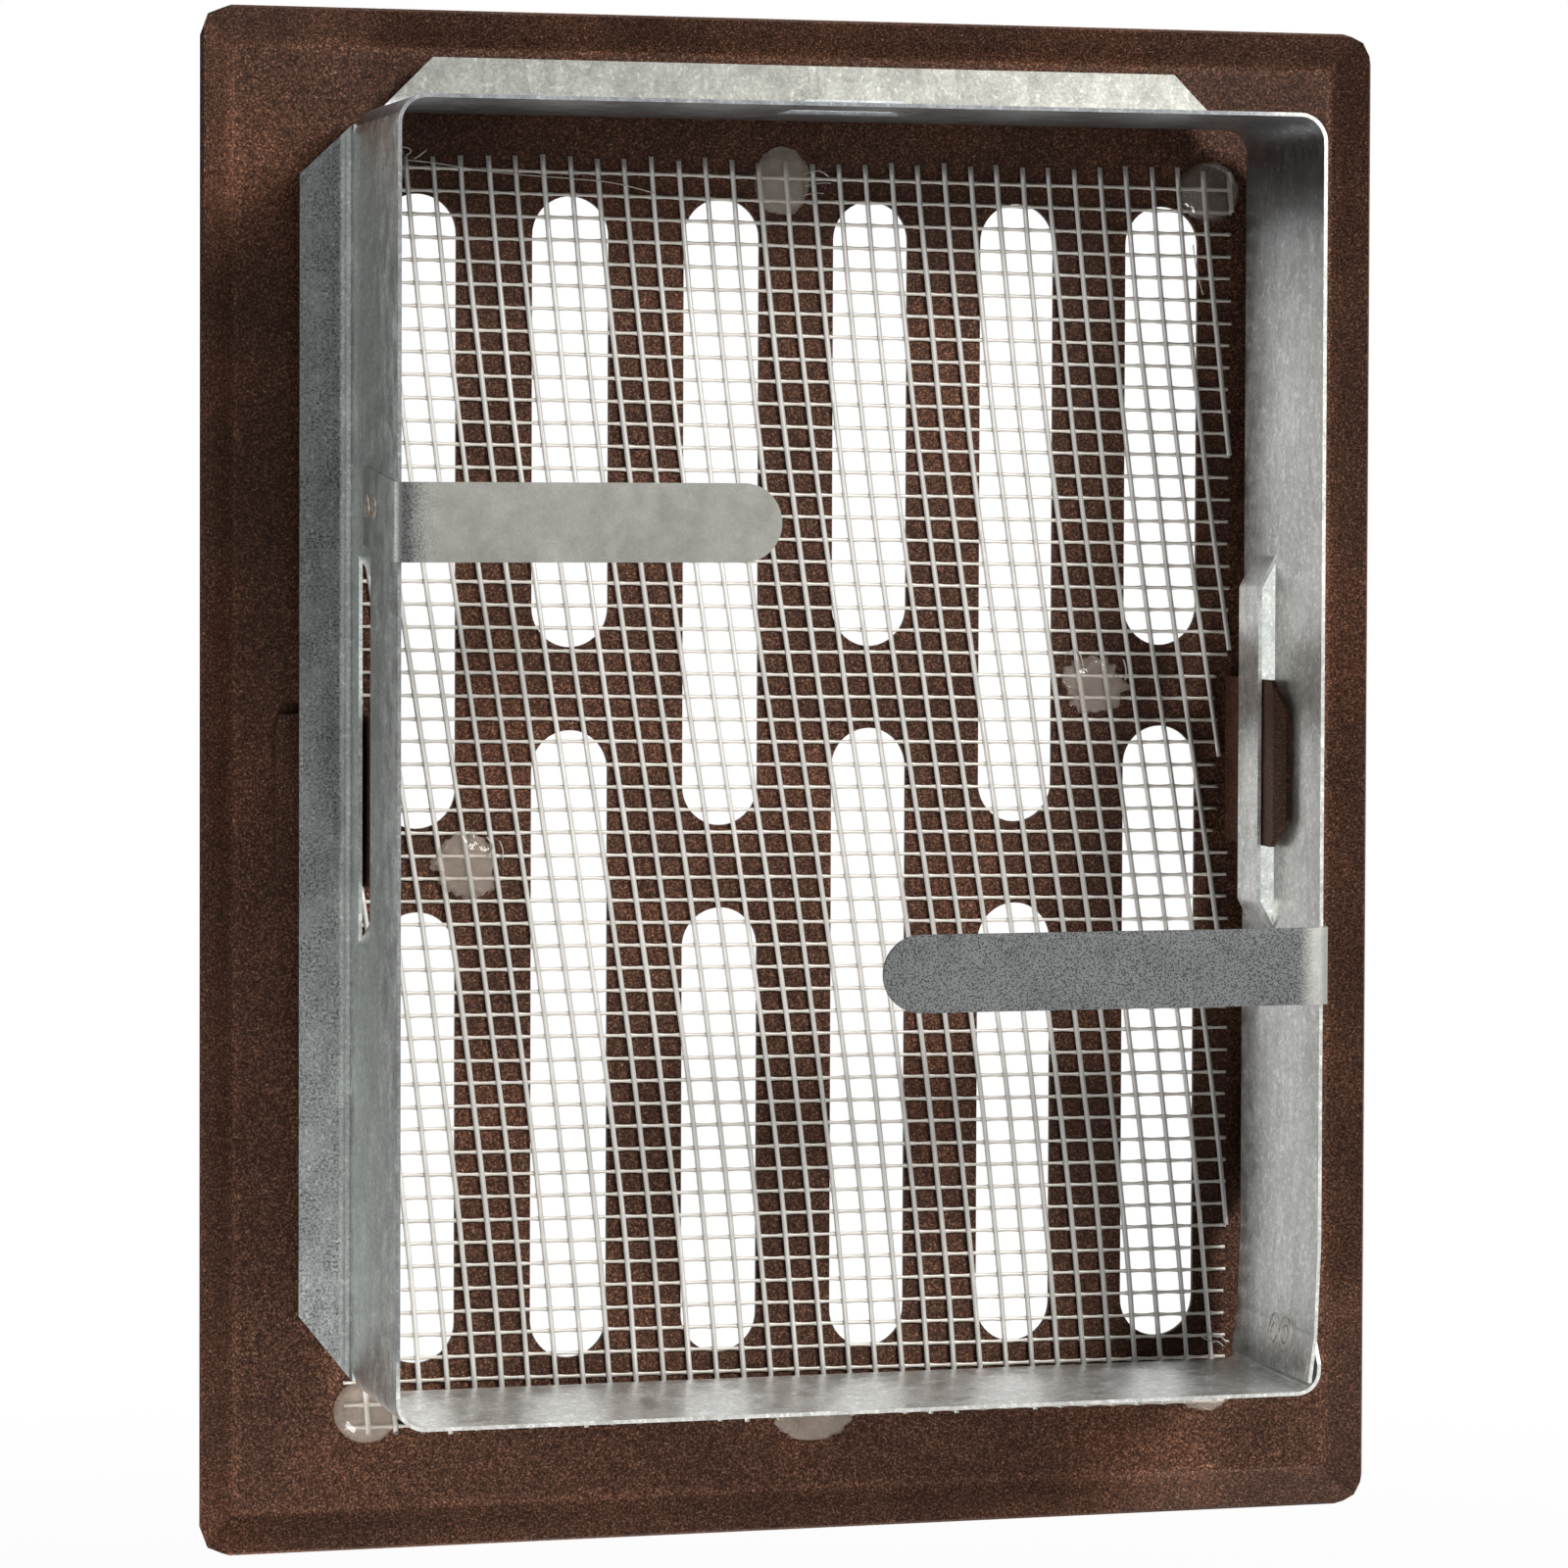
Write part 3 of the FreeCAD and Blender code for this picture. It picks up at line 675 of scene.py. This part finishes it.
# each hair is its radius and then a few points on the net, across and up, in mm
hairs = (
    (0.095, (60.2, 84.8), (55.7, 84.5), (49.0, 83.5), (42.8, 82.9), (32.7, 82.4), (27.4, 81.9),
     (22.6, 80.6)),
    (0.10, (62.0, 86.2), (59.7, 86.6), (58.6, 86.4), (58.2, 85.8), (59.2, 85.3)),
    (0.12, (57.9, 84.9), (57.0, 85.4), (56.1, 86.2)),
    (0.08, (-59.9, 74.4), (-60.2, 70.7), (-61.5, 67.0)),
    (0.16, (-63.0, -87.4), (-64.3, -88.6), (-65.2, -88.3), (-65.9, -89.3), (-66.5, -89.2)),
    (0.13, (-62.2, -88.4), (-63.6, -89.3), (-64.8, -89.0), (-65.6, -89.9)),
    (0.10, (-40.2, 13.6), (-41.6, 14.6), (-42.6, 13.8), (-43.0, 12.2), (-43.2, 10.8)),
    (0.12, (-49.3, 12.9), (-50.0, 11.4), (-49.6, 9.8)),
    (0.12, (47.2, -12.2), (46.2, -13.2), (46.3, -14.4), (47.0, -15.0)),
    (0.10, (45.3, -12.8), (44.5, -14.0), (44.8, -15.6)),
    (0.10, (0.2, 79.9), (-0.8, 79.2), (-1.6, 79.6)),
    (0.08, (0.1, 83.8), (-1.6, 84.4), (-2.9, 84.1), (-3.7, 83.4)),
    (0.07, (-0.2, 82.0), (-2.0, 82.7), (-4.0, 82.5)),
    (0.07, (0.3, 80.6), (-1.4, 81.2), (-2.9, 81.0)),
)
hairLook = dict(lift=0.62, resolution=5, weld=0.000005)


def makeHairs():
    bm = bmesh.new()
    for radius, *points in hairs:
        curve = bpy.data.curves.new("hair", "CURVE")
        curve.dimensions = "3D"
        curve.bevel_depth = radius * mm
        curve.bevel_resolution = 1
        curve.use_fill_caps = True
        line = curve.splines.new("NURBS")
        line.points.add(len(points) - 1)
        for point, (x, z) in zip(line.points, points):
            y = plateBack + netLift(x, z) + hairLook["lift"]
            point.co = (x * mm, y * mm, z * mm, 1)
        line.order_u = 3
        line.use_endpoint_u = True
        line.resolution_u = hairLook["resolution"]
        holder = bpy.data.objects.new("hair", curve)
        mesh = bpy.data.meshes.new_from_object(holder)
        bm.from_mesh(mesh)
        bpy.data.objects.remove(holder)
        bpy.data.curves.remove(curve)
        bpy.data.meshes.remove(mesh)
    bmesh.ops.remove_doubles(bm, verts=bm.verts, dist=hairLook["weld"])
    finishPiece(bm, "glue_hairs", "grille", (hairGlue,))


hairGlue = makeFibre("glue hair", glassFibre["hair"])
makeHairs()
print("glue hairs:", len(hairs))


# spot welds: double rings burnt into the lapped seam, two bright spots on the left strap

seamRings = (
    # place along the depth, height, half size across, half size up, all in mm
    (17.0, -84.9, 2.1, 2.7), (21.4, -84.6, 2.3, 2.5),
)
strapSpots = ((13.9, 35.4, 1.75, 1.6), (18.3, 35.2, 1.9, 1.6))
ringLook = dict(thickness=0.17, rise=0.10, rings=(1.0, 0.52), steps=36, startX=-0.055)
spotLook = dict(rise=0.13, under=0.05, uneven=0.35, startX=0.08)


def layOn(bm, skin, startX, y, z):
    # sets a flat mark, drawn in Y and Z with its rise in X, down on the wall that lies to -X of startX
    beam = Vector((-1, 0, 0))
    middle = skin.ray_cast(Vector((startX, y * mm, z * mm)), beam)[0]
    for v in bm.verts:
        at = Vector((startX, y * mm + v.co.y, z * mm + v.co.z))
        hit = skin.ray_cast(at, beam)[0] or middle
        v.co = Vector((hit.x + v.co.x, at.y, at.z))


def makeSeamRings():
    look = ringLook
    skin = skinOf("mounting_frame")
    bm = bmesh.new()
    for y, z, halfY, halfZ in seamRings:
        for share in look["rings"]:
            part = bmesh.new()
            bmesh.ops.create_circle(part, segments=8, radius=look["thickness"])
            bmesh.ops.translate(part, vec=(halfZ * share, 0, 0), verts=part.verts)
            bmesh.ops.spin(part, geom=part.verts[:] + part.edges[:], cent=(0, 0, 0), axis=(0, 1, 0),
                           steps=look["steps"], angle=math.tau, use_merge=True, use_duplicate=False)
            for v in part.verts:   # the ring's rise is turned to X and its outline made oval
                v.co = Vector((v.co.y * look["rise"] / look["thickness"],
                               v.co.x * halfY / halfZ, v.co.z)) * mm
            layOn(part, skin, look["startX"], y, z)
            addTo(bm, part)
    finishPiece(bm, "seam_weld_marks", "mounting_frame", (weldRing,))


def makeStrapSpots():
    look = spotLook
    skin = skinOf("anchor_strap_left")
    bm = bmesh.new()
    for number, (y, z, halfY, halfZ) in enumerate(strapSpots):
        part = bmesh.new()
        bmesh.ops.create_icosphere(part, subdivisions=4, radius=1)
        for v in part.verts:
            rough = 1 + look["uneven"] * noise.noise(v.co * 1.8 + Vector((number * 5.0, 2.0, 0.3)))
            rise = look["rise"] if v.co.x > 0 else look["under"]
            v.co = Vector((v.co.x * rise * rough, v.co.y * halfY * rough, v.co.z * halfZ * rough)) * mm
        layOn(part, skin, look["startX"], y, z)
        addTo(bm, part)
    finishPiece(bm, "strap_weld_spots", "mounting_frame", (weldSpot,))


makeSeamRings()
makeStrapSpots()
print("weld marks:", len(seamRings) + len(strapSpots))


# floor, light and camera

floorLook = dict(
    height=-0.24, size=6.0, colour=(0.56, 0.56, 0.56), roughness=0.8, gloss=0.1,
    plain=0.9, plainFrom=0.35, plainTo=0.95,
)
lamps = (
    # name, place, size, power, colour, whether it shines in metal
    ("key", (-1.00, 1.42, 0.90), 0.8, 38.0, (1.0, 0.985, 0.96), True),
    ("low", (0.13, 0.10, -0.195), 0.07, 0.27, (1.0, 0.985, 0.97), True),
    ("front", (-1.05, -1.42, 0.12), 1.2, 24.0, (1.0, 0.99, 0.98), False),
)
backdrop = dict(level=0.05, colour=(0.98, 0.99, 1.0))


def plainlySeen(tree, rays):
    # the backdrop is white to the eye and in metal and glass, but it doesn't light what is dull
    mirrored = maths(tree, "MAXIMUM", rays.outputs["Is Glossy Ray"], rays.outputs["Is Transmission Ray"])
    direct = maths(tree, "MAXIMUM", rays.outputs["Is Camera Ray"], mirrored)
    return both(tree, direct, maths(tree, "LESS_THAN", rays.outputs["Diffuse Depth"], 0.5))


def makeFloor():
    look = floorLook
    material, tree, shader = newMaterial("pale floor")
    shader.inputs["Base Color"].default_value = (*look["colour"], 1)
    shader.inputs["Roughness"].default_value = look["roughness"]
    shader.inputs["Specular IOR Level"].default_value = look["gloss"]
    glow = tree.nodes.new("ShaderNodeEmission")
    rays = tree.nodes.new("ShaderNodeLightPath")
    blend = tree.nodes.new("ShaderNodeMixShader")
    seen = plainlySeen(tree, rays)
    # the shadow shows near the object, and further off the floor is as plain as the backdrop
    away = tree.nodes.new("ShaderNodeVectorMath")
    away.operation = "LENGTH"
    tree.links.new(objectPlace(tree), away.inputs[0])
    plain = remap(tree, away.outputs["Value"], look["plainFrom"], look["plainTo"], look["plain"], 1.0)
    tree.links.new(maths(tree, "MULTIPLY", seen, plain), blend.inputs["Fac"])
    tree.links.new(shader.outputs["BSDF"], blend.inputs[1])
    tree.links.new(glow.outputs["Emission"], blend.inputs[2])
    output = next(n for n in tree.nodes if n.type == "OUTPUT_MATERIAL")
    tree.links.new(blend.outputs["Shader"], output.inputs["Surface"])
    bm = bmesh.new()
    bmesh.ops.create_grid(bm, x_segments=1, y_segments=1, size=look["size"])
    bmesh.ops.translate(bm, vec=(0, 0, look["height"]), verts=bm.verts)
    mesh = bpy.data.meshes.new("floor")
    bm.to_mesh(mesh)
    bm.free()
    mesh.materials.append(material)
    floor = bpy.data.objects.new("floor", mesh)
    bpy.context.scene.collection.objects.link(floor)


def makeWorld():
    world = bpy.data.worlds.new("studio")
    bpy.context.scene.world = world
    world.use_nodes = True
    tree = world.node_tree
    tree.nodes.clear()
    output = tree.nodes.new("ShaderNodeOutputWorld")
    white = tree.nodes.new("ShaderNodeBackground")
    soft = tree.nodes.new("ShaderNodeBackground")
    blend = tree.nodes.new("ShaderNodeMixShader")
    rays = tree.nodes.new("ShaderNodeLightPath")
    white.inputs["Color"].default_value = (1, 1, 1, 1)
    white.inputs["Strength"].default_value = 1.0
    soft.inputs["Color"].default_value = (*backdrop["colour"], 1)
    soft.inputs["Strength"].default_value = backdrop["level"]
    tree.links.new(plainlySeen(tree, rays), blend.inputs["Fac"])
    tree.links.new(soft.outputs[0], blend.inputs[1])
    tree.links.new(white.outputs[0], blend.inputs[2])
    tree.links.new(blend.outputs[0], output.inputs["Surface"])


def makeLamps():
    for name, place, size, power, colour, shines in lamps:
        light = bpy.data.lights.new(name, "AREA")
        light.shape = "DISK"
        light.size = size
        light.energy = power
        light.color = colour
        lamp = bpy.data.objects.new(name, light)
        lamp.location = place
        lamp.visible_camera = False
        lamp.visible_glossy = shines   # the front one would throw white patches through the slots
        lamp.rotation_euler = (Vector((0, 0, 0)) - lamp.location).to_track_quat("-Z", "Y").to_euler()
        bpy.context.scene.collection.objects.link(lamp)


view = dict(
    place=(0.2205, 0.78745, 0.0371), turn=(88.333, -0.1989, 164.6108),
    lens=129.16, sensor=36, shift=-0.08, near=0.01, far=50,
)


def makeCamera():
    camera = bpy.data.cameras.new("camera")
    camera.sensor_width = view["sensor"]
    camera.lens = view["lens"]
    camera.shift_y = view["shift"]
    camera.clip_start = view["near"]
    camera.clip_end = view["far"]
    eye = bpy.data.objects.new("camera", camera)
    eye.location = view["place"]
    eye.rotation_euler = Euler([math.radians(a) for a in view["turn"]], "XYZ")
    bpy.context.scene.collection.objects.link(eye)
    bpy.context.scene.camera = eye


makeFloor()
makeWorld()
makeLamps()
makeCamera()
bpy.context.scene.view_settings.view_transform = "Standard"
print("floor, lamps and camera ready")
